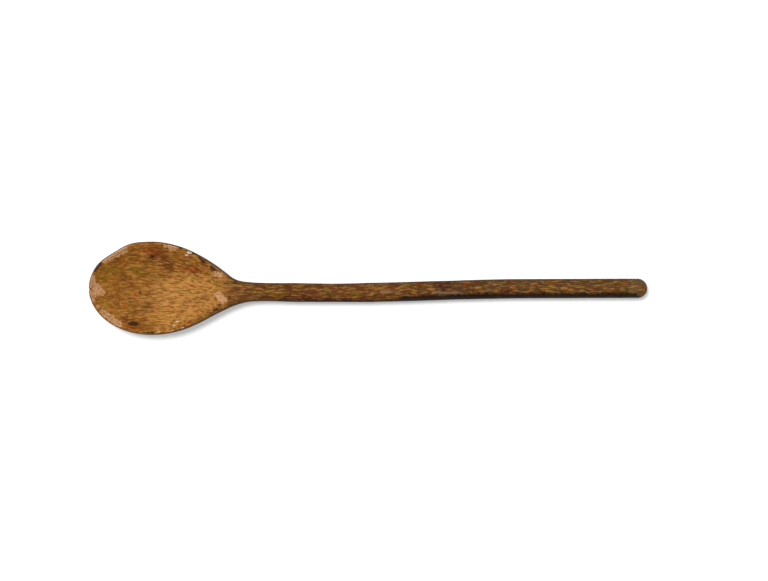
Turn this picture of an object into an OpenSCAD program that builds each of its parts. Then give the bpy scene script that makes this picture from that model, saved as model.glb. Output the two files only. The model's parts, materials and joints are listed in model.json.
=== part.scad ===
// Wooden mixing spoon, carved from one piece of wood, lying on its back.
// X runs from the bowl's tip to the end of the handle, Y across, Z up from the table.
// The far side is +Y and the near side is -Y. Distances along the spoon count from the tip.

/* [Overall] */
// Length from the tip of the bowl to the end of the handle
spoon_len = 355; // [300:5:420]

/* [Bowl] */
// Width of the bowl at its widest place
bowl_w = 59.5; // [52:0.5:68]
// Distance from the tip to the widest place
widest_at = 40; // [34:1:46]
// Height of the rim above the table
rim_h = 14; // [12:0.5:17]
// Width of the rounding outside the rim, at the tip and along the sides
rim_w = 1.5; // [1:0.1:2.5]
// Height of the rounding outside the rim
rim_drop = 3.5; // [2:0.5:5]
// Width of the level top of the rim, between its rounding and the hollow
rim_land = 0.6; // [0.4:0.1:1.2]
// Distance from the tip to the lowest place of the belly
belly_at = 42; // [38:1:48]
// Depth that use has worn off the belly, which leaves the flat that it rests on
belly_wear = 0.4; // [0.2:0.1:0.8]
// Depth that scraping has worn off the far edge near the tip
edge_wear = 0.8; // [0:0.1:1.5]
// Distance from the tip to the middle of the worn edge
edge_wear_at = 14; // [12:0.5:20]
// Length of the worn edge
edge_wear_len = 20; // [12:1:22]

/* [Hollow] */
// Depth of the hollow below the rim
hollow_d = 8.6; // [6:0.1:9.5]
// Distance from the tip to the end of the hollow at the neck
hollow_end = 86.5; // [80:0.5:92]

/* [Shoulders] */
// Distance from the tip to the steepest place of the far shoulder
far_shoulder_at = 89.5; // [84:0.5:94]
// Distance of the far edge from the middle line there
far_shoulder_y = 8.2; // [7:0.1:10]
// Slope of the far edge there, in degrees
far_shoulder_slope = 39.5; // [30:0.5:42]
// Distance from the tip to the steepest place of the near shoulder
near_shoulder_at = 63; // [58:0.5:68]
// Distance of the near edge from the middle line there
near_shoulder_y = 25.5; // [24:0.1:26]
// Slope of the near edge there, in degrees
near_shoulder_slope = 21; // [17:0.5:24]
// Width of the sloping flank beside the hollow's neck end
flank_w = 3.2; // [2:0.1:4.5]

/* [Neck] */
// Distance from the tip to the place where the shoulders run out
neck_at = 103; // [100:0.5:106]
// Width of the neck there
neck_w = 12.7; // [12:0.1:14]
// Distance of the neck's middle from the bowl's middle line, towards the near side
neck_shift = 2.35; // [0:0.05:3]
// Diameter of the handle at its thinnest place, just past the neck
thin_d = 12; // [11:0.1:13]
// Distance from the tip to that thinnest place
thin_at = 111.5; // [109:0.5:115]
// Height of the thinnest place above the table, at its underside
neck_lift = 1.6; // [0:0.2:4]

/* [Handle] */
// Diameter of the straight grip
grip_d = 12.6; // [11.5:0.1:15]
// Length of the straight grip, without its rounded end
grip_len = 70; // [50:1:90]
// Distance from the tip to the place where the handle has its full thickness
full_at = 205; // [180:5:225]
// Sideways bow of the handle, towards the near side
bow = 2.87; // [0:0.05:4]
// Distance from the tip to the place where the handle bows most
bow_at = 156; // [140:1:170]

/* [Hidden] */

wood = "#8c5c2a";
edge_rings = 5;        // rings from the tip to the hollow
tip_rings = 17;        // rings from there to the widest place
neck_rings = 36;       // rings from there to the thinnest place
shaft_rings = 14;      // rings from there to the grip
top_steps = 20;        // steps across the hollow
round_steps = 5;       // steps round each edge, from the rim down to the widest line
belly_steps = 24;      // steps across the underside
tip_arc = 20;          // half the arc that the top steps take in front of the rim, degrees
shaft_arc = 30;        // half the arc that they take on the round shaft, degrees
least_share = 0.4;     // share of the top that the inner steps take where the hollow is narrow
hollow_power = 0.85;   // 1 is a parabola across the hollow, less has a flatter floor
ramp_power = 1.1;      // the same along its ramp up to the neck, where more is softer
end_power = 10;        // 2 is an ellipse round the hollow's neck end, more is squarer
belly_power = 1.4;     // 2 is an ellipse under the bowl, 1 a parabola
neck_slope = 0.09;     // how much each edge still narrows, per mm, where the shoulders run out
flank_from = 50;       // distance from the tip where the rim begins to widen into a flank
flank_full = 80;       // distance from the tip where the flank has its full width
flat_from = 93;        // distance from the tip where the top of the neck begins to round off
flat_to = 120;         // distance from the tip where the top of the handle is round
lift_end = 104;        // distance from the tip where the underside meets the shaft's
end_r = grip_d / 2;
grip_at = spoon_len - end_r - grip_len;
hollow_from = rim_w + rim_land;
seam_lead = 1;         // the carved shaft starts to draw in this far ahead of the grip
seam_len = 3;          // and ends this far inside it
seam = 0.2;            // and is thinner by this much there, which buries its end
rest_cut = [50, 34, 5]; // size of the cut that leaves the worn flat

// A smooth rise from 0 at a to 1 at b
function rise(x, a, b) = let(t = min(1, max(0, (x - a) / (b - a)))) t * t * (3 - 2 * t);

// A smooth hump, 1 in the middle and 0 at half the width on each side
function hump(x, middle, width) =
    let(t = min(1, abs(x - middle) / (width / 2))) (1 - t * t) * (1 - t * t);

// The cubic between two knots, each [place, value, slope]
function cubic(p, q, x) =
    let(h = q[0] - p[0], t = (x - p[0]) / h, e = t * t * (3 - 2 * t))
    p[1] * (1 - e) + q[1] * e + h * t * (1 - t) * (p[2] * (1 - t) - q[2] * t);

// The curve through a list of knots, level past its ends
function curve(knots, x, i = 0) =
    x <= knots[0][0] ? knots[0][1]
    : i > len(knots) - 2 ? knots[len(knots) - 1][1]
    : x <= knots[i + 1][0] ? cubic(knots[i], knots[i + 1], x)
    : curve(knots, x, i + 1);

// Half an ellipse's chord at distance x from its end
function ellipse(x, length, half_width) =
    half_width * sqrt(max(0, 1 - pow(1 - max(0, x) / length, 2)));

far_shoulder = [
    [widest_at, bowl_w / 2, 0],
    [far_shoulder_at, far_shoulder_y, -tan(far_shoulder_slope)],
    [neck_at, neck_w / 2 - neck_shift, -neck_slope]
];
near_shoulder = [
    [widest_at, bowl_w / 2, 0],
    [near_shoulder_at, near_shoulder_y, -tan(near_shoulder_slope)],
    [neck_at, neck_w / 2 + neck_shift, -neck_slope]
];
shaft_width = [[neck_at, neck_w, -2 * neck_slope], [thin_at, thin_d, 0], [full_at, grip_d, 0]];
shaft_shift = [[neck_at, neck_shift, 0], [bow_at, bow, 0], [grip_at, 0, 0]];
axis_height = [[thin_at, neck_lift + thin_d / 2, 0], [grip_at, end_r, 0]];

// Distance of each edge from the middle line
function edge_worn(x) = edge_wear * hump(x, edge_wear_at, edge_wear_len);
function far_edge(x) =
    x < widest_at ? ellipse(x, widest_at, bowl_w / 2) - edge_worn(x)
    : x < neck_at ? curve(far_shoulder, x)
    : curve(shaft_width, x) / 2 - curve(shaft_shift, x);
function near_edge(x) =
    x < widest_at ? ellipse(x, widest_at, bowl_w / 2)
    : x < neck_at ? curve(near_shoulder, x)
    : curve(shaft_width, x) / 2 + curve(shaft_shift, x);
function half_w(x) = (far_edge(x) + near_edge(x)) / 2;
function mid_y(x) = (far_edge(x) - near_edge(x)) / 2;

// Width of the rounding outside the rim
function round_w(x) = rim_w + (flank_w - rim_w) * rise(x, flank_from, flank_full);

// Half the width left inside a border along the edge of the bowl's tip half
function tip_half(x, border) =
    max(0, ellipse(x - border, widest_at - border, bowl_w / 2 - border) - edge_worn(x) / 2);

// Half the width of the top between its roundings, and of the hollow
function top_half(x) =
    x < widest_at ? tip_half(x, rim_w)
    : (half_w(x) - round_w(x)) * (1 - rise(x, flat_from, flat_to));
function hollow_half(x) =
    x < widest_at ? tip_half(x, hollow_from)
    : x < hollow_end ? (top_half(x) - rim_land) * sqrt(1 - pow(ramp(x), end_power))
    : 0;

// How far x is along the hollow's ramp up to the neck, from 0 to 1
function ramp(x) = (x - widest_at) / (hollow_end - widest_at);

// Height of the widest line, of the top and of the underside
function edge_z(x) =
    let(to_shaft = rise(x, flank_from, thin_at))
    (rim_h - rim_drop) * (1 - to_shaft) + curve(axis_height, x) * to_shaft;
function top_z(x) =
    let(to_shaft = rise(x, hollow_end, thin_at))
    x < rim_w ? edge_z(x) + ellipse(x, rim_w, rim_drop)
    : rim_h * (1 - to_shaft) + (curve(axis_height, x) + curve(shaft_width, x) / 2) * to_shaft;
function under_z(x) =
    x < belly_at
    ? edge_z(x) - (edge_z(x) + belly_wear) * pow(1 - pow(1 - x / belly_at, 2), 1 / belly_power)
    : let(to_shaft = rise(x, belly_at, lift_end))
    -belly_wear * (1 - to_shaft) + (curve(axis_height, x) - curve(shaft_width, x) / 2) * to_shaft;
function under_power(x) = belly_power + (2 - belly_power) * rise(x, flank_from, thin_at);

// Depth of the hollow at distance x, and at s to the side of its middle
function hollow_z(x, s) =
    let(
        half = hollow_half(x), v = half > 0 ? abs(s) / half : 1,
        u = x < widest_at ? (widest_at - x) / (widest_at - hollow_from) : ramp(x)
    )
    u >= 1 || v >= 1 ? 0
    : hollow_d * pow(1 - u * u, x < widest_at ? hollow_power : ramp_power) * pow(1 - v * v, hollow_power);

// One ring of points round the spoon, from the far rim over the top and back under the belly
function ring(x, shrink = 0) =
    let(
        y = mid_y(x), w = half_w(x) - shrink, z = edge_z(x),
        up = top_z(x) - z - shrink, down = z - under_z(x) - shrink, power = 2 / under_power(x),
        to_shaft = rise(x, hollow_end, flat_to),
        arc = x <= rim_w ? tip_arc : shaft_arc * to_shaft,
        top = top_half(x), turn = w - top, crest = top + turn * sin(arc),
        inner = max(hollow_half(x), crest * (least_share * (1 + to_shaft)))
    )
    concat(
        [for (i = [0 : top_steps])
            let(s = inner * (1 - 2 * i / top_steps), a = max(0, abs(s) - top) / turn)
            [x, y + s, z + up * sqrt(1 - a * a) - hollow_z(x, s)]],
        [for (i = [0 : round_steps])
            let(a = arc + (90 - arc) * i / round_steps)
            [x, y - top - turn * sin(a), z + up * cos(a)]],
        [for (i = [1 : belly_steps - 1])
            let(a = 180 * i / belly_steps)
            [x, y - w * cos(a), z - down * pow(sin(a), power)]],
        [for (i = [round_steps : -1 : 0])
            let(a = arc + (90 - arc) * i / round_steps)
            [x, y + top + turn * sin(a), z + up * cos(a)]]
    );

stations = concat(
    [for (i = [1 : edge_rings]) hollow_from * (1 - cos(90 * i / edge_rings))],
    [for (i = [1 : tip_rings]) hollow_from + (widest_at - hollow_from) * (1 - cos(90 * i / tip_rings))],
    [for (i = [1 : neck_rings]) widest_at + (thin_at - widest_at) * i / neck_rings],
    [for (i = [1 : shaft_rings]) thin_at + (grip_at - seam_lead - thin_at) * i / shaft_rings]
);

// The carved bowl, neck and shaft, as one skin round the rings
module carved_body() {
    rings = concat([for (x = stations) ring(x)], [ring(grip_at + seam_len, seam)]);
    count = len(rings[0]);
    last = len(rings) - 1;
    points = concat([[0, mid_y(0), edge_z(0)]], [for (r = rings, p = r) p]);
    tip_faces = [for (j = [0 : count - 1]) [0, 1 + j, 1 + (j + 1) % count]];
    side_faces = [
        for (i = [0 : last - 1], j = [0 : count - 1])
            let(
                p = 1 + i * count + j, q = 1 + i * count + (j + 1) % count,
                side = [[p, p + count, q + count], [p, q + count, q]]
            )
            for (face = side) face
    ];
    end_faces = [for (j = [1 : count - 2]) [1 + last * count, 2 + last * count + j, 1 + last * count + j]];
    polyhedron(points = points, faces = concat(tip_faces, side_faces, end_faces), convexity = 6);
}

// The straight round grip with its half-ball end
module grip() {
    translate([grip_at, 0, end_r])
        rotate([0, 90, 0])
            cylinder(r = end_r, h = grip_len, $fn = 96);
    translate([grip_at + grip_len, 0, end_r])
        rotate([0, 90, 0])
            sphere(r = end_r, $fn = 96);
}

module spoon() {
    color(wood)
        translate([-spoon_len / 2, 0, 0])
            union() {
                difference() {
                    carved_body();
                    translate([belly_at - rest_cut[0] / 2, -rest_cut[1] / 2, -rest_cut[2]])
                        cube(rest_cut);
                }
                grip();
            }
}

spoon();
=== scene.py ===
import json
import math

import bpy
import numpy as np
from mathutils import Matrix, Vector


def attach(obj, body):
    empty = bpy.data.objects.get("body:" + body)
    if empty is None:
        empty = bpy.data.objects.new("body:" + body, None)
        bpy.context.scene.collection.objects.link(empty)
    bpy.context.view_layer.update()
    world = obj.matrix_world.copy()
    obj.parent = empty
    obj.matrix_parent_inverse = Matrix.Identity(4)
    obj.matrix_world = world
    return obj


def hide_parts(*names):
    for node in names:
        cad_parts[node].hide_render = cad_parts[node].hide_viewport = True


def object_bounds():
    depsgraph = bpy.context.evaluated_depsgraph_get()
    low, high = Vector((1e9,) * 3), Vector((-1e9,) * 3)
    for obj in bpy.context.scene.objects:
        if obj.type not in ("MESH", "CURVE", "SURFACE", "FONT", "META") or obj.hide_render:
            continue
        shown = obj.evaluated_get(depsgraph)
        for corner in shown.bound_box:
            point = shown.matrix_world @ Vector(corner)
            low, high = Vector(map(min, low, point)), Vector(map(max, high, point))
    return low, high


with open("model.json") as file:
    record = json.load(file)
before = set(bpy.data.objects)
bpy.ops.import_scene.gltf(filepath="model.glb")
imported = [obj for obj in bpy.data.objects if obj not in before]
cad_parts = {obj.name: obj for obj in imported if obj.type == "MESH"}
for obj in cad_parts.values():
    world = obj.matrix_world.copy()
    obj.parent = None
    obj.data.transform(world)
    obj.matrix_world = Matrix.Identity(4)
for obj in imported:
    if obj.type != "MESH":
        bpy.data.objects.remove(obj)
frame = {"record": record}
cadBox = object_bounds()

lowCorner, highCorner = cadBox
spoonLength, bowlWidth, rimHeight = (size * 1000 for size in highCorner - lowCorner)  # mm
gripSizes = next(m for m in frame["record"]["mounts"] if m["name"] == "handle_grip")["dims"]
gripRadius, gripLength = gripSizes["r_mm"], gripSizes["length_mm"]
print("Frame loaded: spoon", round(spoonLength, 1), "mm long")


def addNode(tree, kind, inputs=None, **settings):
    node = tree.nodes.new(kind)
    for name, value in settings.items():
        setattr(node, name, value)
    for key, value in (inputs or {}).items():
        socket = node.inputs[key] if isinstance(key, int) else next(
            s for s in node.inputs if s.enabled and s.name == key)
        if isinstance(value, bpy.types.Node):
            value = next(s for s in value.outputs if s.enabled)
        if isinstance(value, bpy.types.NodeSocket):
            tree.links.new(value, socket)
        else:
            socket.default_value = value
    count = len(tree.nodes)
    node.location = (220 * (count % 14), -320 * (count // 14))
    return node


def linear(hexColour):  # sRGB hex to the linear colour that a socket takes
    shares = [int(hexColour[i:i + 2], 16) / 255 for i in (0, 2, 4)]
    return [s / 12.92 if s <= 0.04045 else ((s + 0.055) / 1.055) ** 2.4 for s in shares] + [1.0]


# Carving
carving = {  # mm; places along the spoon count from the tip, +Y is the far side
    "widestAt": 40.0,
    "rimWidth": 1.5,
    "rimDrop": 3.5,
    "rimLand": 0.6,
    "bellyAt": 42.0,
    "bellyWear": 0.4,
    "edgeWear": (14.0, 20.0, 0.8),      # place, length and depth of the scraped far edge
    "farSwell": (28.0, 18.0, 0.4),      # place, length and height of the fuller edge beside it
    "hollowDepth": 8.6,
    "hollowEnd": 86.5,
    "farShoulder": (89.5, 8.2, 39.5),   # place, distance from the middle line, slope in degrees
    "nearShoulder": (63.0, 25.5, 21.0),
    "flankWidth": 3.2,
    "neckAt": 103.0,
    "neckWidth": 12.7,
    "neckShift": 2.35,
    "thinThickness": 12.0,
    "thinAt": 111.5,
    "neckLift": 1.6,
    "fullAt": 205.0,
    "bow": 2.87,
    "bowAt": 156.0,
    "thickWaves": [  # place, length, change of thickness left by the spokeshave
        (116.0, 14.0, -0.15), (131.0, 22.0, 0.25), (160.0, 30.0, -0.3), (177.0, 14.0, 0.15),
        (231.0, 16.0, -0.2)],
    "sideWave": (258.0, 180.0, 0.25),   # place, length and size of a second slight bow
    "hollowPower": 0.85,                # 1 is a parabola across the hollow, less has a flatter floor
    "rampPower": 1.1,                   # the same along its ramp up to the neck
    "endPower": 10,                     # 2 is an ellipse round the hollow's neck end, more is squarer
    "bellyPower": 1.4,                  # 2 is an ellipse under the bowl, 1 a parabola
    "neckSlope": 0.09,                  # how much each edge still narrows, per mm, at the shoulders' end
    "flanks": (50.0, 80.0),             # where the rim starts to widen into the flanks, and has done so
    "flatFades": (93.0, 120.0),         # where the neck's flat top starts to round off, and has done so
    "liftEnd": 104.0,                   # where the underside has risen from the belly to the neck
    "tipArc": 20.0,                     # degrees that the crest stands off the flat, at the tip
    "shaftArc": 30.0,                   # and on the handle
    "leastShare": 0.4,                  # share of the top that the hollow's steps keep where it is narrow
    "endGap": 0.004,                    # how far inside each end the first and the last cut lie
}
gripAt = spoonLength - gripRadius - gripLength
hollowFrom = carving["rimWidth"] + carving["rimLand"]


def rise(x, a, b):
    t = min(1.0, max(0.0, (x - a) / (b - a)))
    return t * t * (3 - 2 * t)


def hump(x, place, length, size):
    t = min(1.0, abs(x - place) / (length / 2))
    return size * (1 - t * t) ** 2


def curve(knots, x):  # cubic through knots of place, value and slope, level past its ends
    if x <= knots[0][0]:
        return knots[0][1]
    for p, q in zip(knots, knots[1:]):
        if x <= q[0]:
            h = q[0] - p[0]
            t = (x - p[0]) / h
            e = t * t * (3 - 2 * t)
            return p[1] * (1 - e) + q[1] * e + h * t * (1 - t) * (p[2] * (1 - t) - q[2] * t)
    return knots[-1][1]


def ellipse(x, length, halfWidth):
    return halfWidth * math.sqrt(max(0.0, 1 - (1 - max(0.0, x) / length) ** 2))


def shoulderKnots(shoulder, neckEdge):
    place, away, slope = shoulder
    return [(carving["widestAt"], bowlWidth / 2, 0), (place, away, -math.tan(math.radians(slope))),
            (carving["neckAt"], neckEdge, -carving["neckSlope"])]


halfNeck = carving["neckWidth"] / 2
farKnots = shoulderKnots(carving["farShoulder"], halfNeck - carving["neckShift"])
nearKnots = shoulderKnots(carving["nearShoulder"], halfNeck + carving["neckShift"])
thicknessKnots = [(carving["neckAt"], carving["neckWidth"], -2 * carving["neckSlope"]),
                  (carving["thinAt"], carving["thinThickness"], 0), (carving["fullAt"], 2 * gripRadius, 0)]
shiftKnots = [(carving["neckAt"], carving["neckShift"], 0), (carving["bowAt"], carving["bow"], 0),
              (gripAt, 0, 0)]
axisKnots = [(carving["thinAt"], carving["neckLift"] + carving["thinThickness"] / 2, 0),
             (gripAt, gripRadius, 0)]


def edgeWorn(x):
    return hump(x, *carving["edgeWear"])


def thickness(x):
    return curve(thicknessKnots, x) + sum(hump(x, *wave) for wave in carving["thickWaves"])


def sideShift(x):
    return curve(shiftKnots, x) + hump(x, *carving["sideWave"])


def farEdge(x):
    if x < carving["widestAt"]:
        return ellipse(x, carving["widestAt"], bowlWidth / 2) - edgeWorn(x) + hump(x, *carving["farSwell"])
    return curve(farKnots, x) if x < carving["neckAt"] else thickness(x) / 2 - sideShift(x)


def nearEdge(x):
    if x < carving["widestAt"]:
        return ellipse(x, carving["widestAt"], bowlWidth / 2)
    return curve(nearKnots, x) if x < carving["neckAt"] else thickness(x) / 2 + sideShift(x)


def tipHalf(x, border):
    inside = ellipse(x - border, carving["widestAt"] - border, bowlWidth / 2 - border)
    return max(0.0, inside - (edgeWorn(x) - hump(x, *carving["farSwell"])) / 2)


def section(x):  # what one cut across the spoon needs, in mm
    widest, hollowEnd, bellyPower = carving["widestAt"], carving["hollowEnd"], carving["bellyPower"]
    far, near = farEdge(x), nearEdge(x)
    halfWidth, middle = (far + near) / 2, (far - near) / 2
    toShaft = rise(x, carving["flanks"][0], carving["thinAt"])
    axis, radius = curve(axisKnots, x), thickness(x) / 2
    edge = (rimHeight - carving["rimDrop"]) * (1 - toShaft) + axis * toShaft
    toRound = rise(x, hollowEnd, carving["thinAt"])
    top = rimHeight * (1 - toRound) + (axis + radius) * toRound
    if x < carving["rimWidth"]:
        top = edge + ellipse(x, carving["rimWidth"], carving["rimDrop"])
    wear, belly = carving["bellyWear"], carving["bellyAt"]
    if x < belly:
        under = edge - (edge + wear) * (1 - (1 - x / belly) ** 2) ** (1 / bellyPower)
    else:
        toLift = rise(x, belly, carving["liftEnd"])
        under = -wear * (1 - toLift) + (axis - radius) * toLift
    if x < widest:
        flat, hollow = tipHalf(x, carving["rimWidth"]), tipHalf(x, hollowFrom)
        ramp, power = (widest - x) / (widest - hollowFrom), carving["hollowPower"]
    else:
        wider = (carving["flankWidth"] - carving["rimWidth"]) * rise(x, *carving["flanks"])
        flat = (halfWidth - carving["rimWidth"] - wider) * (1 - rise(x, *carving["flatFades"]))
        ramp, power = (x - widest) / (hollowEnd - widest), carving["rampPower"]
        atEnd = max(0.0, 1 - ramp ** carving["endPower"])
        hollow = (flat - carving["rimLand"]) * math.sqrt(atEnd)
    toFlat = rise(x, hollowEnd, carving["flatFades"][1])
    arc = math.radians(carving["tipArc"] if x <= carving["rimWidth"] else carving["shaftArc"] * toFlat)
    crest = flat + (halfWidth - flat) * math.sin(arc)
    shrink = math.sqrt(max(0.0, 1 - (max(0.0, x - spoonLength + gripRadius) / gripRadius) ** 2))
    return {
        "along": x, "middle": middle, "edgeHeight": edge, "halfWidth": halfWidth * shrink,
        "flat": flat, "crest": crest * shrink, "arc": arc, "hollowHalf": hollow,
        "inner": max(hollow, crest * carving["leastShare"] * (1 + toFlat)) * shrink,
        "up": (top - edge) * shrink, "down": (edge - under) * shrink,
        "bellyPower": 2 / (bellyPower + (2 - bellyPower) * toShaft),
        "depthShare": max(0.0, 1 - ramp * ramp) ** power,
    }


cuts = {"rim": 12, "tip": 62, "neck": 130, "shaft": 215, "end": 14}  # cuts across, zone by zone


def quarter(a, b, count):  # close together at a, wide apart at b
    return [a + (b - a) * (1 - math.cos(math.pi / 2 * i / count)) for i in range(1, count + 1)]


def even(a, b, count):
    return [a + (b - a) * i / count for i in range(1, count + 1)]


places = [carving["endGap"]] + quarter(0, hollowFrom, cuts["rim"])
places += quarter(hollowFrom, carving["widestAt"], cuts["tip"])
places += even(carving["widestAt"], carving["thinAt"], cuts["neck"])
places += even(carving["thinAt"], spoonLength - gripRadius, cuts["shaft"])
places += [spoonLength - x for x in reversed(quarter(0, gripRadius, cuts["end"])[:-1])]
places.append(spoonLength - carving["endGap"])

spineMesh = bpy.data.meshes.new("spoon_wood")
spineMesh.from_pydata([(x / 1000, 0, 0) for x in places], [(i, i + 1) for i in range(len(places) - 1)], [])
sections = [section(x) for x in places]
for label in sections[0]:
    column = spineMesh.attributes.new(label, "FLOAT", "POINT")
    column.data.foreach_set("value", [s[label] for s in sections])
spoon = bpy.data.objects.new("spoon_wood", spineMesh)
bpy.context.scene.collection.objects.link(spoon)
print("Spine:", len(places), "cuts")

wood = bpy.data.materials.new("oiledBeech")


def newTree(name, sockets):
    tree = bpy.data.node_groups.new(name, "GeometryNodeTree")
    tree.is_modifier = True
    kinds = {int: "NodeSocketInt", float: "NodeSocketFloat", tuple: "NodeSocketVector"}
    tree.interface.new_socket("Geometry", in_out="INPUT", socket_type="NodeSocketGeometry")
    for label, value in sockets.items():
        tree.interface.new_socket(label, in_out="INPUT", socket_type=kinds[type(value)])
    tree.interface.new_socket("Geometry", in_out="OUTPUT", socket_type="NodeSocketGeometry")
    return tree


def runTree(piece, tree, values):  # the evaluated result becomes the piece's plain mesh
    modifier = piece.modifiers.new(tree.name, "NODES")
    modifier.node_group = tree
    for socket in tree.interface.items_tree:
        if socket.in_out == "INPUT" and socket.name in values:
            modifier[socket.identifier] = values[socket.name]
    bpy.context.view_layer.update()
    evaluated = piece.evaluated_get(bpy.context.evaluated_depsgraph_get())
    shaped = bpy.data.meshes.new_from_object(evaluated)
    piece.modifiers.remove(modifier)
    oldMesh = piece.data
    piece.data = shaped
    bpy.data.meshes.remove(oldMesh)


def finishTree(tree, geometry):
    realized = addNode(tree, "GeometryNodeRealizeInstances", {"Geometry": geometry})
    painted = addNode(tree, "GeometryNodeSetMaterial", {"Geometry": realized, "Material": wood})
    addNode(tree, "NodeGroupOutput", {"Geometry": painted})


# The skin: a tube round the spine, whose points are then moved to each cut's own outline
skin = {
    "Steps Across Hollow": 104,
    "Steps Over Rim": 3,
    "Steps Round Edge": 8,
    "Steps Under Belly": 66,
    "Hollow Depth": carving["hollowDepth"],
    "Hollow Floor": carving["hollowPower"],
}
form = newTree("carvedForm", skin)
sizes = addNode(form, "NodeGroupInput")
cut = {}
for label in sections[0]:
    cut[label] = addNode(form, "GeometryNodeInputNamedAttribute", {
        "Name": label}, data_type="FLOAT").outputs[0]
halfHollow = addNode(form, "ShaderNodeMath", {
    0: sizes.outputs["Steps Across Hollow"], 1: 0.5}, operation="MULTIPLY")
toCrest = addNode(form, "ShaderNodeMath", {
    0: halfHollow, 1: sizes.outputs["Steps Over Rim"]}, operation="ADD")
halfUpper = addNode(form, "ShaderNodeMath", {
    0: toCrest, 1: sizes.outputs["Steps Round Edge"]}, operation="ADD")
upper = addNode(form, "ShaderNodeMath", {0: halfUpper, 1: 2.0}, operation="MULTIPLY")
around = addNode(form, "ShaderNodeMath", {
    0: upper, 1: sizes.outputs["Steps Under Belly"]}, operation="ADD")
spine = addNode(form, "GeometryNodeMeshToCurve", {"Mesh": sizes.outputs["Geometry"]})
profile = addNode(form, "GeometryNodeCurvePrimitiveCircle", {"Resolution": around, "Radius": 0.001})
tube = addNode(form, "GeometryNodeCurveToMesh", {
    "Curve": spine, "Profile Curve": profile, "Fill Caps": True})
index = addNode(form, "GeometryNodeInputIndex")
step = addNode(form, "ShaderNodeMath", {0: index, 1: around}, operation="MODULO")
signedStep = addNode(form, "ShaderNodeMath", {0: step, 1: halfUpper}, operation="SUBTRACT")
awayStep = addNode(form, "ShaderNodeMath", {0: signedStep}, operation="ABSOLUTE")
acrossShare = addNode(form, "ShaderNodeMapRange", {"Value": awayStep, "From Max": halfHollow})
landShare = addNode(form, "ShaderNodeMapRange", {
    "Value": awayStep, "From Min": halfHollow, "From Max": toCrest})
turnAngle = addNode(form, "ShaderNodeMapRange", {
    "Value": awayStep, "From Min": toCrest, "From Max": halfUpper, "To Min": cut["arc"],
    "To Max": math.pi / 2})
# How far this point lies from the middle of its cut: over the hollow, then the land, then round the edge
turn = addNode(form, "ShaderNodeMath", {0: cut["halfWidth"], 1: cut["flat"]}, operation="SUBTRACT")
land = addNode(form, "ShaderNodeMath", {0: cut["crest"], 1: cut["inner"]}, operation="SUBTRACT")
hollowReach = addNode(form, "ShaderNodeMath", {0: cut["inner"], 1: acrossShare}, operation="MULTIPLY")
landReach = addNode(form, "ShaderNodeMath", {
    0: land, 1: landShare, 2: hollowReach}, operation="MULTIPLY_ADD")
sineNow = addNode(form, "ShaderNodeMath", {0: turnAngle}, operation="SINE")
sineFirst = addNode(form, "ShaderNodeMath", {0: cut["arc"]}, operation="SINE")
sineGain = addNode(form, "ShaderNodeMath", {0: sineNow, 1: sineFirst}, operation="SUBTRACT")
reach = addNode(form, "ShaderNodeMath", {0: turn, 1: sineGain, 2: landReach}, operation="MULTIPLY_ADD")
side = addNode(form, "ShaderNodeMath", {0: signedStep}, operation="SIGN")
nearReach = addNode(form, "ShaderNodeMath", {0: reach, 1: side}, operation="MULTIPLY")
# Height of the upper side: level, rounded past the crest, and lower in the hollow
pastFlat = addNode(form, "ShaderNodeMath", {0: reach, 1: cut["flat"]}, operation="SUBTRACT")
turnShare = addNode(form, "ShaderNodeMath", {0: pastFlat, 1: turn}, operation="DIVIDE", use_clamp=True)
turnSquared = addNode(form, "ShaderNodeMath", {0: turnShare, 1: turnShare}, operation="MULTIPLY")
turnRest = addNode(form, "ShaderNodeMath", {0: 1.0, 1: turnSquared}, operation="SUBTRACT")
turnRise = addNode(form, "ShaderNodeMath", {0: turnRest}, operation="SQRT")
crestHeight = addNode(form, "ShaderNodeMath", {0: cut["up"], 1: turnRise, 2: cut["edgeHeight"]},
                      operation="MULTIPLY_ADD")
hollowShare = addNode(form, "ShaderNodeMath", {
    0: reach, 1: cut["hollowHalf"]}, operation="DIVIDE", use_clamp=True)
hollowSquared = addNode(form, "ShaderNodeMath", {0: hollowShare, 1: hollowShare}, operation="MULTIPLY")
hollowRest = addNode(form, "ShaderNodeMath", {0: 1.0, 1: hollowSquared}, operation="SUBTRACT")
bowlCurve = addNode(form, "ShaderNodeMath", {
    0: hollowRest, 1: sizes.outputs["Hollow Floor"]}, operation="POWER")
depthHere = addNode(form, "ShaderNodeMath", {0: sizes.outputs["Hollow Depth"], 1: cut["depthShare"]},
                    operation="MULTIPLY")
depth = addNode(form, "ShaderNodeMath", {0: depthHere, 1: bowlCurve}, operation="MULTIPLY")
upperHeight = addNode(form, "ShaderNodeMath", {0: crestHeight, 1: depth}, operation="SUBTRACT")
# The underside, from the near edge round to the far one
underAngle = addNode(form, "ShaderNodeMapRange", {
    "Value": step, "From Min": upper, "From Max": around, "To Max": math.pi})
underCosine = addNode(form, "ShaderNodeMath", {0: underAngle}, operation="COSINE")
underSine = addNode(form, "ShaderNodeMath", {0: underAngle}, operation="SINE")
underCurve = addNode(form, "ShaderNodeMath", {0: underSine, 1: cut["bellyPower"]}, operation="POWER")
underDrop = addNode(form, "ShaderNodeMath", {0: cut["down"], 1: underCurve}, operation="MULTIPLY")
underHeight = addNode(form, "ShaderNodeMath", {0: cut["edgeHeight"], 1: underDrop}, operation="SUBTRACT")
underReach = addNode(form, "ShaderNodeMath", {0: cut["halfWidth"], 1: underCosine}, operation="MULTIPLY")
isUnder = addNode(form, "ShaderNodeMath", {0: step, 1: upper}, operation="GREATER_THAN")
nearward = addNode(form, "ShaderNodeMix", {
    "Factor": isUnder, "A": nearReach, "B": underReach}, data_type="FLOAT")
height = addNode(form, "ShaderNodeMix", {
    "Factor": isUnder, "A": upperHeight, "B": underHeight}, data_type="FLOAT")
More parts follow.
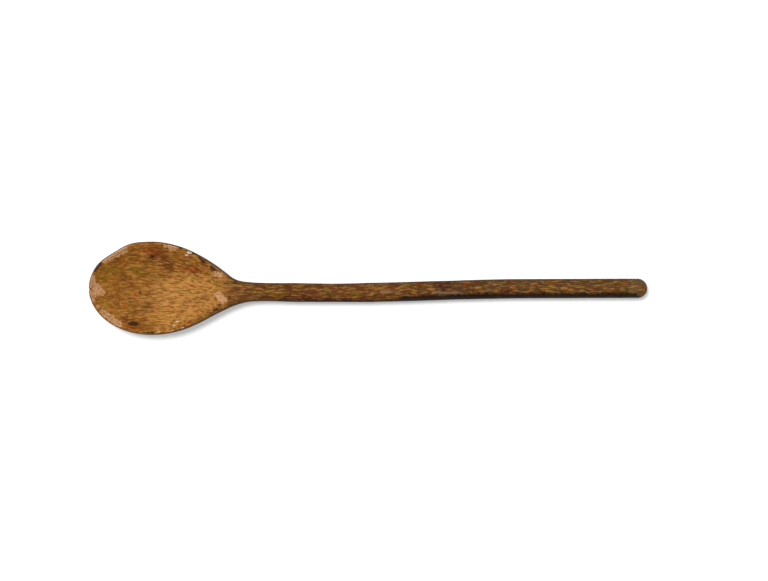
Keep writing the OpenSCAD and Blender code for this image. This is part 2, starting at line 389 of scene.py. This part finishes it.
sideways = addNode(form, "ShaderNodeMath", {0: cut["middle"], 1: nearward}, operation="SUBTRACT")
lengthwise = addNode(form, "ShaderNodeMath", {0: cut["along"], 1: spoonLength / 2}, operation="SUBTRACT")
point = addNode(form, "ShaderNodeCombineXYZ", {0: lengthwise, 1: sideways, 2: height})
metres = addNode(form, "ShaderNodeVectorMath", {0: point, "Scale": 0.001}, operation="SCALE")
shaped = addNode(form, "GeometryNodeSetPosition", {"Geometry": tube, "Position": metres})
# 0 on the flat of the top, 1 on the widest line, 2 at the bottom
turned = addNode(form, "ShaderNodeMath", {
    0: isUnder, 1: underSine, 2: turnShare}, operation="MULTIPLY_ADD")
marked = addNode(form, "GeometryNodeStoreNamedAttribute", {
    "Geometry": shaped, "Name": "turned", "Value": turned})
finishTree(form, marked)
runTree(spoon, form, skin)
for label in sections[0]:
    spoon.data.attributes.remove(spoon.data.attributes[label])
print("Carved form:", len(spoon.data.vertices), "points")

# Marks of use, each stroke from one place to another, in mm from the tip and the middle line
marks = {
    "bare": [  # worn through to pale wood: fromX, fromY, toX, toY, half width
        (10.2, 18.6, 14.5, 20.2, 2.2), (15.5, 21.6, 22.0, 24.6, 3.1), (2.6, 6.6, 3.6, 3.0, 1.7),
        (3.0, 2.0, 6.5, -0.5, 2.6), (2.5, -2.5, 8.6, -2.9, 1.9), (2.2, -3.0, 3.2, -7.4, 1.8),
        (5.8, -11.0, 6.4, -12.2, 1.0), (9.0, -15.2, 14.0, -19.3, 1.8), (13.5, -18.8, 19.0, -22.6, 2.3),
        (48.5, 26.9, 56.0, 25.9, 1.0), (52.0, 25.5, 54.5, 24.6, 1.2), (80.5, 9.2, 83.8, 8.6, 1.9),
        (82.5, -4.0, 86.0, -7.5, 2.4), (50.0, -27.2, 53.5, -26.9, 0.8), (43.7, -27.6, 45.6, -27.5, 0.6)],
    "cream": [
        (61.8, 21.0, 63.0, 21.0, 0.6), (63.2, 22.8, 65.2, 22.5, 0.8), (62.4, 16.0, 62.5, 16.0, 0.4),
        (12.6, -16.2, 13.2, -16.5, 0.4), (56.0, -21.0, 57.3, -21.0, 0.4), (54.0, -23.6, 54.6, -23.5, 0.4),
        (59.2, -25.2, 60.4, -24.8, 0.5)],
    "scuff": [  # painted highlight lines, grey-tan, where both rounded shoulders catch the lamp, and two worn scuffs on the handle
        (78.0, 15.6, 84.0, 11.2, 0.5), (84.0, 11.2, 90.0, 7.6, 0.5), (90.0, 7.6, 97.0, 4.9, 0.4),
        (66.0, -23.8, 76.0, -19.7, 0.5), (76.0, -19.7, 88.0, -13.6, 0.5), (88.0, -13.6, 95.0, -10.3, 0.4),
        (219.0, -2.6, 237.0, -3.2, 0.9), (186.0, -2.0, 192.0, -2.2, 0.8)],
    "dark": [
        (57.4, 26.0, 58.9, 25.5, 0.7), (65.8, 23.0, 68.8, 21.4, 0.8), (70.8, 19.2, 73.4, 16.6, 1.1),
        # on the next line, the stroke at 90 to 96 mm along the neck's crease and the one at 80 to 82 mm on
        # the near shoulder's flank are painted shade
        (78.0, 13.2, 80.6, 11.6, 0.9), (90.5, 3.7, 95.8, 2.7, 0.45), (79.5, -14.4, 82.0, -13.0, 0.6),
        (75.0, 9.5, 75.2, 9.5, 0.4), (32.0, -2.7, 32.5, -2.8, 0.6), (35.4, -9.2, 36.4, -9.2, 0.3),
        (38.1, -9.6, 38.4, -9.6, 0.3), (4.2, 11.2, 8.2, 15.8, 0.9), (0.6, -1.4, 1.2, -1.3, 0.4),
        (35.4, -28.0, 41.4, -28.2, 0.6), (40.3, 20.2, 40.7, 20.0, 0.9), (26.4, -22.2, 30.4, -22.6, 1.3),
        (12.2, -17.7, 12.5, -17.8, 0.4)],
    "maroon": [
        (87.4, -7.0, 90.0, -6.2, 0.9), (83.0, -10.9, 84.3, -11.2, 0.7), (106.5, -4.4, 111.5, -4.7, 1.1),
        (125.0, -5.2, 129.0, -5.5, 1.1), (122.0, -7.4, 166.0, -7.6, 1.3), (222.0, 2.0, 229.0, 1.0, 1.8),
        (263.7, -1.6, 267.4, -1.6, 1.6), (279.7, -2.8, 288.7, -2.8, 1.3)],
    "red": [
        (35.0, 27.9, 44.0, 28.0, 0.7), (25.0, -24.6, 34.5, -25.9, 0.7), (36.3, 24.0, 42.8, 23.0, 1.4),
        (65.2, 11.9, 67.5, 11.9, 1.5), (3.5, 9.4, 4.0, 9.8, 0.6)],
    "smudge": [
        (21.0, -19.8, 27.0, -20.4, 1.8), (72.3, -6.8, 75.0, -6.6, 1.4), (46.6, 25.5, 47.6, 19.5, 1.2),
        (41.0, 22.0, 50.0, 15.0, 4.5)],
    "olive": [
        (13.0, 12.0, 20.4, 11.5, 2.5), (7.5, 8.0, 11.0, 3.0, 2.2), (10.0, -6.0, 11.0, -11.0, 2.0),
        (28.0, 12.5, 35.0, 9.0, 3.0), (35.4, 26.0, 39.0, 25.5, 1.5), (80.6, 6.5, 82.2, 0.0, 1.4),
        (82.2, 0.0, 80.6, -5.0, 1.4), (106.0, -2.4, 124.0, -2.8, 1.5), (289.8, -0.5, 294.2, -0.5, 1.6)],
    # a lighter golden wash over the middle and lower right of the hollow: partly the wood's colour, partly
    # painted light where the hollow's wall faces the lamp
    "gold": [(52.0, -4.0, 74.0, -3.0, 12.0), (46.0, -20.0, 66.0, -13.0, 6.0)],
    # near-black along the handle's lower edge: partly dark staining, partly painted shade on the side
    # turned from the lamp
    "soil": [
        (118.0, -9.6, 200.0, -9.4, 1.9), (200.0, -8.0, 235.0, -7.0, 3.0), (235.0, -6.6, 346.0, -6.2, 3.2)],
}
underMarks = {  # on the underside, which the picture doesn't show
    "rubbed": [(24.0, 0.0, 60.0, -1.0, 9.0), (120.0, -3.0, 300.0, 0.0, 1.2)],
}


def strokeField(points, strokes, farthest=6.0):  # mm inside the nearest stroke's edge, less than 0 outside
    field = np.full(len(points), -farthest)
    for x0, y0, x1, y1, radius in strokes:
        start, along = np.array((x0, y0)), np.array((x1 - x0, y1 - y0))
        share = np.clip((points - start) @ along / max(along @ along, 0.01), 0, 1)
        gap = np.linalg.norm(points - start - share[:, None] * along, axis=1)
        field = np.maximum(field, radius - gap)
    return field


def storeField(mesh, label, values):
    mesh.attributes.new(label, "FLOAT", "POINT").data.foreach_set("value", values.astype(np.float32))


def readField(mesh, label):
    values = np.zeros(len(mesh.vertices), np.float32)
    mesh.attributes[label].data.foreach_get("value", values)
    return values


corners = np.zeros(len(spoon.data.vertices) * 3, np.float32)
spoon.data.vertices.foreach_get("co", corners)
corners = corners.reshape(-1, 3).astype(float) * 1000
onTop = np.stack((corners[:, 0] + spoonLength / 2, corners[:, 1]), axis=1)
turnedShare = readField(spoon.data, "turned")
# Strokes of one side end just past the widest line; shares as in "turned", and mm to push a stroke away
sides = {"topEnds": (1.0, 1.25), "underStarts": (1.1, 1.4), "outside": 12.0}
fromTop = np.interp(turnedShare, sides["topEnds"], (0, 1)) * sides["outside"]
fromUnder = np.interp(turnedShare, sides["underStarts"], (1, 0)) * sides["outside"]
for label, strokes in marks.items():
    storeField(spoon.data, label, strokeField(onTop, strokes) - fromTop)
for label, strokes in underMarks.items():
    storeField(spoon.data, label, strokeField(onTop, strokes) - fromUnder)

# A nick in the tip
nick = {"y": -1.0, "halfWidth": 0.8, "depth": 0.5, "inward": 2.5}
nickShare = np.exp(-((corners[:, 1] - nick["y"]) / nick["halfWidth"]) ** 2)
nickShare *= np.clip(1 - onTop[:, 0] / nick["inward"], 0, 1)
corners[:, 0] += nick["depth"] * nickShare
spoon.data.vertices.foreach_set("co", (corners / 1000).astype(np.float32).ravel())
spoon.data.update()
print("Marks:", sum(len(s) for s in marks.values()), "strokes")

# Grain and wear, worked into the surface
wear = {
    "Seed": 7.0,
    "Grain Spacing": 0.9,     # mm between raised lines
    "Grain Length": 9.0,
    "Grain Depth": 0.07,
    "Wave Size": 14.0,        # the knife's long hollows
    "Wave Height": 0.22,
    "Ragged Size": 1.6,       # how large the teeth of a worn edge are
    "Ragged Reach": 2.4,
    "Chip Depth": 0.22,
    "Dent Spacing": 11.0,
    "Dent Size": 1.3,
    "Dent Depth": 0.16,
    "Low Corner": tuple(lowCorner),
    "High Corner": tuple(highCorner),
}
worn = newTree("grainAndWear", wear)
wearSizes = addNode(worn, "NodeGroupInput")
seed = wearSizes.outputs["Seed"]
position = addNode(worn, "GeometryNodeInputPosition")
normal = addNode(worn, "GeometryNodeInputNormal")
millimetres = addNode(worn, "ShaderNodeVectorMath", {0: position, "Scale": 1000.0}, operation="SCALE")
grainScale = addNode(worn, "ShaderNodeCombineXYZ", {
    0: wearSizes.outputs["Grain Length"], 1: wearSizes.outputs["Grain Spacing"],
    2: wearSizes.outputs["Grain Spacing"]})
grainPlace = addNode(worn, "ShaderNodeVectorMath", {0: millimetres, 1: grainScale}, operation="DIVIDE")
grainNoise = addNode(worn, "ShaderNodeTexNoise", {
    "Vector": grainPlace, "W": seed, "Scale": 1.0, "Detail": 2.0}, noise_dimensions="4D")
waveScale = addNode(worn, "ShaderNodeMath", {
    0: 1.0, 1: wearSizes.outputs["Wave Size"]}, operation="DIVIDE")
waveNoise = addNode(worn, "ShaderNodeTexNoise", {
    "Vector": millimetres, "W": seed, "Scale": waveScale, "Detail": 1.0}, noise_dimensions="4D")
raggedScale = addNode(worn, "ShaderNodeMath", {
    0: 1.0, 1: wearSizes.outputs["Ragged Size"]}, operation="DIVIDE")
raggedNoise = addNode(worn, "ShaderNodeTexNoise", {
    "Vector": millimetres, "W": seed, "Scale": raggedScale, "Detail": 3.0}, noise_dimensions="4D")
raggedTeeth = addNode(worn, "ShaderNodeMapRange", {
    "Value": raggedNoise, "From Min": 0.2, "From Max": 0.8, "To Min": -0.5, "To Max": 0.5}, clamp=False)
bareField = addNode(worn, "GeometryNodeInputNamedAttribute", {"Name": "bare"}, data_type="FLOAT")
bareEdge = addNode(worn, "ShaderNodeMath", {
    0: raggedTeeth, 1: wearSizes.outputs["Ragged Reach"], 2: bareField.outputs[0]},
    operation="MULTIPLY_ADD")
chipped = addNode(worn, "ShaderNodeMapRange", {"Value": bareEdge, "From Min": -0.4, "From Max": 0.4},
                  interpolation_type="SMOOTHSTEP")
dentScale = addNode(worn, "ShaderNodeMath", {
    0: 1.0, 1: wearSizes.outputs["Dent Spacing"]}, operation="DIVIDE")
dentCells = addNode(worn, "ShaderNodeTexVoronoi", {"Vector": millimetres, "W": seed, "Scale": dentScale},
                    voronoi_dimensions="4D")
dentReach = addNode(worn, "ShaderNodeMath", {
    0: wearSizes.outputs["Dent Size"], 1: dentScale}, operation="MULTIPLY")
dented = addNode(worn, "ShaderNodeMapRange", {
    "Value": dentCells.outputs["Distance"], "From Min": dentReach, "From Max": 0.0},
    interpolation_type="SMOOTHSTEP")
grainDepth = addNode(worn, "ShaderNodeMath", {
    0: grainNoise, 1: wearSizes.outputs["Grain Depth"]}, operation="MULTIPLY")
waveDepth = addNode(worn, "ShaderNodeMath", {
    0: waveNoise, 1: wearSizes.outputs["Wave Height"], 2: grainDepth}, operation="MULTIPLY_ADD")
chipDepth = addNode(worn, "ShaderNodeMath", {
    0: chipped, 1: wearSizes.outputs["Chip Depth"], 2: waveDepth}, operation="MULTIPLY_ADD")
dentDepth = addNode(worn, "ShaderNodeMath", {
    0: dented, 1: wearSizes.outputs["Dent Depth"], 2: chipDepth}, operation="MULTIPLY_ADD")
inward = addNode(worn, "ShaderNodeMath", {0: dentDepth, 1: -0.001}, operation="MULTIPLY")
sink = addNode(worn, "ShaderNodeVectorMath", {0: normal, "Scale": inward}, operation="SCALE")
sunk = addNode(worn, "ShaderNodeVectorMath", {0: position, 1: sink}, operation="ADD")
aboveLow = addNode(worn, "ShaderNodeVectorMath", {
    0: sunk, 1: wearSizes.outputs["Low Corner"]}, operation="MAXIMUM")
inBox = addNode(worn, "ShaderNodeVectorMath", {
    0: aboveLow, 1: wearSizes.outputs["High Corner"]}, operation="MINIMUM")
weathered = addNode(worn, "GeometryNodeSetPosition", {
    "Geometry": wearSizes.outputs["Geometry"], "Position": inBox})
finishTree(worn, weathered)
runTree(spoon, worn, wear)
spoon.data.shade_smooth()
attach(spoon, "root")
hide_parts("spoon")
print("Worn spoon:", len(spoon.data.polygons), "faces")

# Oiled beech: close-grained tan wood, golden brown where food and scrubbing kept the bowl clean, with short
# wavy darker lines along the grain. Hands and smoke have left the handle dark brown, mottled and dull
finish = {
    "bowl": [(0.30, "74430E"), (0.50, "98601F"), (0.70, "B47A32")],   # dark, middle, light of its mottling
    "bare": [(0.34, "8A5526"), (0.46, "C18B5B"), (0.66, "DDB286")],   # worn through, with specks left in it
    "olive": "80600E", "orange": "9C520A", "gold": "C98E44", "red": "A03C16", "maroon": "40120C",
    "smudge": "643616", "dark": "2A1208", "cream": "E4D2B2", "scuff": "8C7458",
    # on the next line the dark brown and the near-black serve partly as painted shade, round the handle's
    # sides and underside and along its lower edge
    "grime": "2A180A", "soil": "0C0603", "lineDark": "5C2E06", "lineLight": "D8A058", "rubbed": "8A6234",
    "warm": "643E18", "smoked": "5C3010", "sooty": "402612", "brown": "543A1C", "worn": "685432",
    "handle": [  # mm from the tip, tone: a smoked and a sooty stretch, and an end worn pale
        (98.0, "warm"), (136.0, "smoked"), (164.0, "warm"), (200.0, "warm"), (226.0, "sooty"),
        (258.0, "brown"), (338.0, "brown"), (352.0, "worn")],
    "lineLength": 5.5, "lineWidth": 0.95,   # mm
    "speckSize": 0.9,                       # mm; drawn coarser than real pores, which are far below a pixel
    "mottleSize": 8, "driftSize": 5,        # mm; how large the patches of tone and of colour are
    "wanderSize": 7, "wander": (0.0, 2.8, 2.0),    # mm; how the lines sway
    "slope": ((15.0, 92.0), 4.5),           # mm; where they slope towards the handle, and how far in all
    "blendReach": 24.0,                     # mm; how far the mottling pushes each border along the spoon
    "neckBlend": (82.0, 98.0),              # mm from the tip; where the bowl's colours give way
    "lineGrows": ((12.0, 48.0), (0.3, 0.62)),      # mm from the tip; strength of the dark lines there
    "lightLines": 0.3, "speckGain": 1.3,
    "grimeGrows": ((88.0, 115.0), (0.4, 0.78), 1.05),   # mm from the tip; where on the turn it starts, ends
    "drifts": [("Red", "olive", 0.5), ("Green", "orange", 0.5), ("Blue", "maroon", 0.25)],
    # soft edge and ragged edge in mm, strength
    # the gold wash is partly painted light on the hollow's lit wall
    "under": [("gold", 9.0, 5.0, 0.6), ("olive", 3.0, 3.0, 0.55), ("smudge", 3.5, 3.5, 0.6),
              ("red", 1.4, 2.0, 0.6), ("maroon", 2.0, 3.0, 0.75), ("rubbed", 6.0, 6.0, 0.5)],
    # the grey-tan lines drawn here are painted highlights on the shoulders, and worn scuffs on the handle
    "over": [("dark", 0.8, 1.4, 0.85), ("bare", 0.6, wear["Ragged Reach"], 0.9), ("scuff", 1.0, 1.6, 0.6),
             ("cream", 0.6, 0.9, 0.8)],
    # drawn last: the near-black band low on the handle, partly stain and partly painted shade
    "last": ("soil", 2.4, 2.6, 0.94),
    "roughness": (0.55, 0.72), "shine": 0.12,
}
wood.use_nodes = True
paint = wood.node_tree
paint.nodes.clear()


def paintStops(ramp, places, colours):
    stops = ramp.color_ramp.elements
    while len(stops) < len(places):
        stops.new(0.5)
    for stop, place, colour in zip(stops, places, colours):
        stop.position, stop.color = place, linear(colour)


coordinates = addNode(paint, "ShaderNodeTexCoord")
mm = addNode(paint, "ShaderNodeVectorMath", {
    0: coordinates.outputs["Object"], "Scale": 1000.0}, operation="SCALE")
parts = addNode(paint, "ShaderNodeSeparateXYZ", {0: mm})
mottle = addNode(paint, "ShaderNodeTexNoise", {
    "Vector": mm, "Scale": 1 / finish["mottleSize"], "Detail": 4.0, "Roughness": 0.62})
drift = addNode(paint, "ShaderNodeTexNoise", {
    "Vector": mm, "Scale": 1 / finish["driftSize"], "Detail": 2.0})
speckle = addNode(paint, "ShaderNodeTexNoise", {
    "Vector": mm, "Scale": 1 / finish["speckSize"], "Detail": 2.0, "Roughness": 0.6})
ragged = addNode(paint, "ShaderNodeTexNoise", {
    "Vector": mm, "W": wear["Seed"], "Scale": 1 / wear["Ragged Size"], "Detail": 3.0},
    noise_dimensions="4D")
teeth = addNode(paint, "ShaderNodeMapRange", {
    "Value": ragged, "From Min": 0.2, "From Max": 0.8, "To Min": -0.5, "To Max": 0.5}, clamp=False)

# The lines wander, and slope a few degrees towards the handle as far as the neck
wanderNoise = addNode(paint, "ShaderNodeTexNoise", {
    "Vector": mm, "Scale": 1 / finish["wanderSize"], "Detail": 2.0})
wanderCentre = addNode(paint, "ShaderNodeVectorMath", {
    0: wanderNoise.outputs["Color"], 1: (0.5, 0.5, 0.5)}, operation="SUBTRACT")
wander = addNode(paint, "ShaderNodeVectorMath", {0: wanderCentre, 1: finish["wander"], 2: mm},
                 operation="MULTIPLY_ADD")
(slopeFrom, slopeTo), slopeDrop = finish["slope"]
slopeShare = addNode(paint, "ShaderNodeMapRange", {
    "Value": parts.outputs["X"], "From Min": slopeFrom - spoonLength / 2,
    "From Max": slopeTo - spoonLength / 2})
slopeSquare = addNode(paint, "ShaderNodeMath", {0: slopeShare, 1: slopeShare}, operation="MULTIPLY")
slopeReach = addNode(paint, "ShaderNodeCombineXYZ", {1: slopeSquare})
sloped = addNode(paint, "ShaderNodeVectorMath", {0: slopeReach, 1: (0.0, slopeDrop, 0.0), 2: wander},
                 operation="MULTIPLY_ADD")
lineScale = (1 / finish["lineLength"], 1 / finish["lineWidth"], 1 / finish["lineWidth"])
linePlace = addNode(paint, "ShaderNodeVectorMath", {0: sloped, 1: lineScale}, operation="MULTIPLY")
lines = addNode(paint, "ShaderNodeTexNoise", {
    "Vector": linePlace, "Scale": 1.0, "Detail": 1.5, "Roughness": 0.55})
lineDark = addNode(paint, "ShaderNodeMapRange", {"Value": lines, "From Min": 0.53, "From Max": 0.36},
                   interpolation_type="SMOOTHSTEP")
lineLight = addNode(paint, "ShaderNodeMapRange", {"Value": lines, "From Min": 0.5, "From Max": 0.66},
                    interpolation_type="SMOOTHSTEP")

# Bowl and handle, each with its own mottling
bowlTone = addNode(paint, "ShaderNodeValToRGB", {0: mottle})
paintStops(bowlTone, *zip(*finish["bowl"]))
mottleShift = addNode(paint, "ShaderNodeMath", {
    0: mottle, 1: finish["blendReach"], 2: -finish["blendReach"] / 2}, operation="MULTIPLY_ADD")
alongWarped = addNode(paint, "ShaderNodeMath", {0: parts.outputs["X"], 1: mottleShift}, operation="ADD")
handleFrom, handleTo = finish["handle"][0][0], finish["handle"][-1][0]
handleShare = addNode(paint, "ShaderNodeMapRange", {
    "Value": alongWarped, "From Min": handleFrom - spoonLength / 2, "From Max": handleTo - spoonLength / 2})
handleTone = addNode(paint, "ShaderNodeValToRGB", {0: handleShare})
paintStops(handleTone, [(x - handleFrom) / (handleTo - handleFrom) for x, name in finish["handle"]],
           [finish[name] for x, name in finish["handle"]])
neckFrom, neckTo = finish["neckBlend"]
toHandle = addNode(paint, "ShaderNodeMapRange", {
    "Value": alongWarped, "From Min": neckFrom - spoonLength / 2, "From Max": neckTo - spoonLength / 2},
    interpolation_type="SMOOTHSTEP")
tone = addNode(paint, "ShaderNodeMix", {0: toHandle, "A": bowlTone, "B": handleTone}, data_type="RGBA")
driftParts = addNode(paint, "ShaderNodeSeparateColor", {0: drift.outputs["Color"]})
for channel, colour, strength in finish["drifts"]:
    share = addNode(paint, "ShaderNodeMapRange", {
        "Value": driftParts.outputs[channel], "From Min": 0.5, "From Max": 0.68, "To Max": strength},
        interpolation_type="SMOOTHSTEP")
    tone = addNode(paint, "ShaderNodeMix", {
        0: share, "A": tone, "B": linear(finish[colour])}, data_type="RGBA")


def addStain(under, stain, soft, rough, strength, colour=None):  # soft and ragged edges in mm
    field = addNode(paint, "ShaderNodeAttribute", {}, attribute_name=stain).outputs["Fac"]
    edge = addNode(paint, "ShaderNodeMath", {0: teeth, 1: rough, 2: field}, operation="MULTIPLY_ADD")
    share = addNode(paint, "ShaderNodeMapRange", {
        "Value": edge, "From Min": -soft / 2, "From Max": soft / 2, "To Max": strength},
        interpolation_type="SMOOTHSTEP")
    return addNode(paint, "ShaderNodeMix", {
        0: share, "A": under, "B": colour or linear(finish[stain])}, data_type="RGBA")


for stain in finish["under"]:
    tone = addStain(tone, *stain)

# Grain over the stains: dark lines, light lines between them, then specks
(lineFrom, lineTo), (lineLeast, lineMost) = finish["lineGrows"]
lineStrength = addNode(paint, "ShaderNodeMapRange", {
    "Value": alongWarped, "From Min": lineFrom - spoonLength / 2, "From Max": lineTo - spoonLength / 2,
    "To Min": lineLeast, "To Max": lineMost})
darkShare = addNode(paint, "ShaderNodeMath", {0: lineDark, 1: lineStrength}, operation="MULTIPLY")
darkLined = addNode(paint, "ShaderNodeMix", {0: darkShare, "A": tone, "B": linear(finish["lineDark"])},
                    data_type="RGBA")
lightShare = addNode(paint, "ShaderNodeMath", {0: lineLight, 1: finish["lightLines"]},
                     operation="MULTIPLY")
lined = addNode(paint, "ShaderNodeMix", {0: lightShare, "A": darkLined, "B": linear(finish["lineLight"])},
                data_type="RGBA")
speckGain = finish["speckGain"]
speckTint = addNode(paint, "ShaderNodeVectorMath", {
    0: speckle.outputs["Color"], 1: [speckGain] * 3, 2: [1 - speckGain / 2] * 3}, operation="MULTIPLY_ADD")
tone = addNode(paint, "ShaderNodeMix", {0: 1.0, "A": lined, "B": speckTint}, data_type="RGBA",
               blend_type="MULTIPLY")

bareTone = addNode(paint, "ShaderNodeValToRGB", {0: speckle})
paintStops(bareTone, *zip(*finish["bare"]))
for stain in finish["over"]:
    tone = addStain(tone, *stain, bareTone if stain[0] == "bare" else None)

# Dull dark patina outside the rim and under the bowl. Round the handle, the same darkening runs from just
# short of its widest line to the bottom, partly patina and partly painted shade. Then comes the near-black
# band low on the handle, partly stain and partly painted shade
turnedField = addNode(paint, "ShaderNodeAttribute", {}, attribute_name="turned").outputs["Fac"]
grimeAndShadeEdge = addNode(paint, "ShaderNodeMath", {0: teeth, 1: 0.4, 2: turnedField}, operation="MULTIPLY_ADD")
(bowlEnd, handleStart), (bowlTurn, handleTurn), fullTurn = finish["grimeGrows"]
grimeAndShadeFrom = addNode(paint, "ShaderNodeMapRange", {
    "Value": parts.outputs["X"], "From Min": bowlEnd - spoonLength / 2,
    "From Max": handleStart - spoonLength / 2, "To Min": bowlTurn, "To Max": handleTurn})
grimeAndShadeShare = addNode(paint, "ShaderNodeMapRange", {
    "Value": grimeAndShadeEdge, "From Min": grimeAndShadeFrom, "From Max": fullTurn, "To Max": 0.85},
    interpolation_type="SMOOTHSTEP")
tone = addNode(paint, "ShaderNodeMix", {
    0: grimeAndShadeShare, "A": tone, "B": linear(finish["grime"])}, data_type="RGBA")
# near-black band low on the handle: partly stain, partly painted shade
tone = addStain(tone, *finish["last"])

grainHeight = addNode(paint, "ShaderNodeMath", {
    0: lineDark, 1: -0.6, 2: speckle}, operation="MULTIPLY_ADD")
bump = addNode(paint, "ShaderNodeBump", {"Strength": 0.4, "Distance": 0.0002, "Height": grainHeight})
roughShare = addNode(paint, "ShaderNodeMapRange", {
    "Value": mottle, "From Min": 0.3, "From Max": 0.7, "To Min": finish["roughness"][0],
    "To Max": finish["roughness"][1]})
surface = addNode(paint, "ShaderNodeBsdfPrincipled", {
    "Base Color": tone, "Roughness": roughShare, "Normal": bump, "IOR": 1.45,
    "Specular IOR Level": finish["shine"]})
addNode(paint, "ShaderNodeOutputMaterial", {"Surface": surface})
print("Wood finished")

# Camera straight above, as in the picture
picture = {  # pixels, mm to a pixel, and the camera's height in metres
    "width": 768, "height": 581, "mmPerPixel": 0.6353, "tipAt": 88.9, "middleAt": 288.29, "distance": 2.0}
centreX = (picture["width"] / 2 - picture["tipAt"]) * picture["mmPerPixel"] - spoonLength / 2
centreY = (picture["middleAt"] - picture["height"] / 2) * picture["mmPerPixel"]
camera = bpy.data.objects.new("camera", bpy.data.cameras.new("camera"))
bpy.context.scene.collection.objects.link(camera)
bpy.context.scene.camera = camera
camera.location = (centreX / 1000, centreY / 1000, picture["distance"])
sharpHeight = 0.008  # metres; the height at which the picture's scale was taken
shownWidth = picture["width"] * picture["mmPerPixel"] / 1000
camera.data.sensor_width = 36.0
camera.data.lens = camera.data.sensor_width * (picture["distance"] - sharpHeight) / shownWidth


def addSeen(tree):  # 1 for what the camera sees, directly or by reflection or through glass, else 0
    rays = addNode(tree, "ShaderNodeLightPath")
    mirrored = addNode(tree, "ShaderNodeMath", {
        0: rays.outputs["Is Glossy Ray"], 1: rays.outputs["Is Transmission Ray"]},
        operation="ADD", use_clamp=True)
    return addNode(tree, "ShaderNodeMath", {0: rays.outputs["Is Camera Ray"], 1: mirrored},
                   operation="ADD", use_clamp=True)


# Plain white table, soft lamp from the upper left
table = {
    "size": 6.0,        # metres
    "camera": 0.96,     # how white the paper looks
    "bounce": 0.3,      # how much of the light it throws back under the spoon
    "lift": 0.32,       # plain white added to what the camera sees, so that the shadow stays light
}
bpy.ops.mesh.primitive_plane_add(size=table["size"], location=(0, 0, -0.0001))
floor = bpy.context.object
floor.name = "table"
paper = bpy.data.materials.new("whitePaper")
floor.data.materials.append(paper)
paper.use_nodes = True
sheet = paper.node_tree
sheet.nodes.clear()
seen = addSeen(sheet)
whiteness = addNode(sheet, "ShaderNodeMapRange", {
    "Value": seen, "To Min": table["bounce"], "To Max": table["camera"]})
matt = addNode(sheet, "ShaderNodeBsdfDiffuse", {"Color": whiteness})
liftStrength = addNode(sheet, "ShaderNodeMath", {0: seen, 1: table["lift"]}, operation="MULTIPLY")
lift = addNode(sheet, "ShaderNodeEmission", {"Strength": liftStrength})
both = addNode(sheet, "ShaderNodeAddShader", {0: matt, 1: lift})
addNode(sheet, "ShaderNodeOutputMaterial", {"Surface": both})

light = {
    "direction": (-0.25, 0.27, 1.0),    # towards the lamp, from the upper left of the picture
    "sun": 0.7,
    "softness": 22.0,                   # degrees that the lamp spans
    "sky": 0.35,
}
lamp = bpy.data.objects.new("softKey", bpy.data.lights.new("softKey", "SUN"))
bpy.context.scene.collection.objects.link(lamp)
toLamp = Vector(light["direction"]).normalized()
lamp.rotation_euler = toLamp.to_track_quat("Z", "Y").to_euler()
lamp.data.energy = math.pi * light["sun"] / toLamp.z
lamp.data.angle = math.radians(light["softness"])
world = bpy.data.worlds.new("paleRoom")
bpy.context.scene.world = world
world.use_nodes = True
air = world.node_tree
air.nodes.clear()
airStrength = addNode(air, "ShaderNodeMapRange", {
    "Value": addSeen(air), "To Min": light["sky"], "To Max": 1.0})
sky = addNode(air, "ShaderNodeBackground", {"Strength": airStrength})
addNode(air, "ShaderNodeOutputWorld", {"Surface": sky})
bpy.context.scene.view_settings.view_transform = "Standard"
print("Table, lamp and camera set")
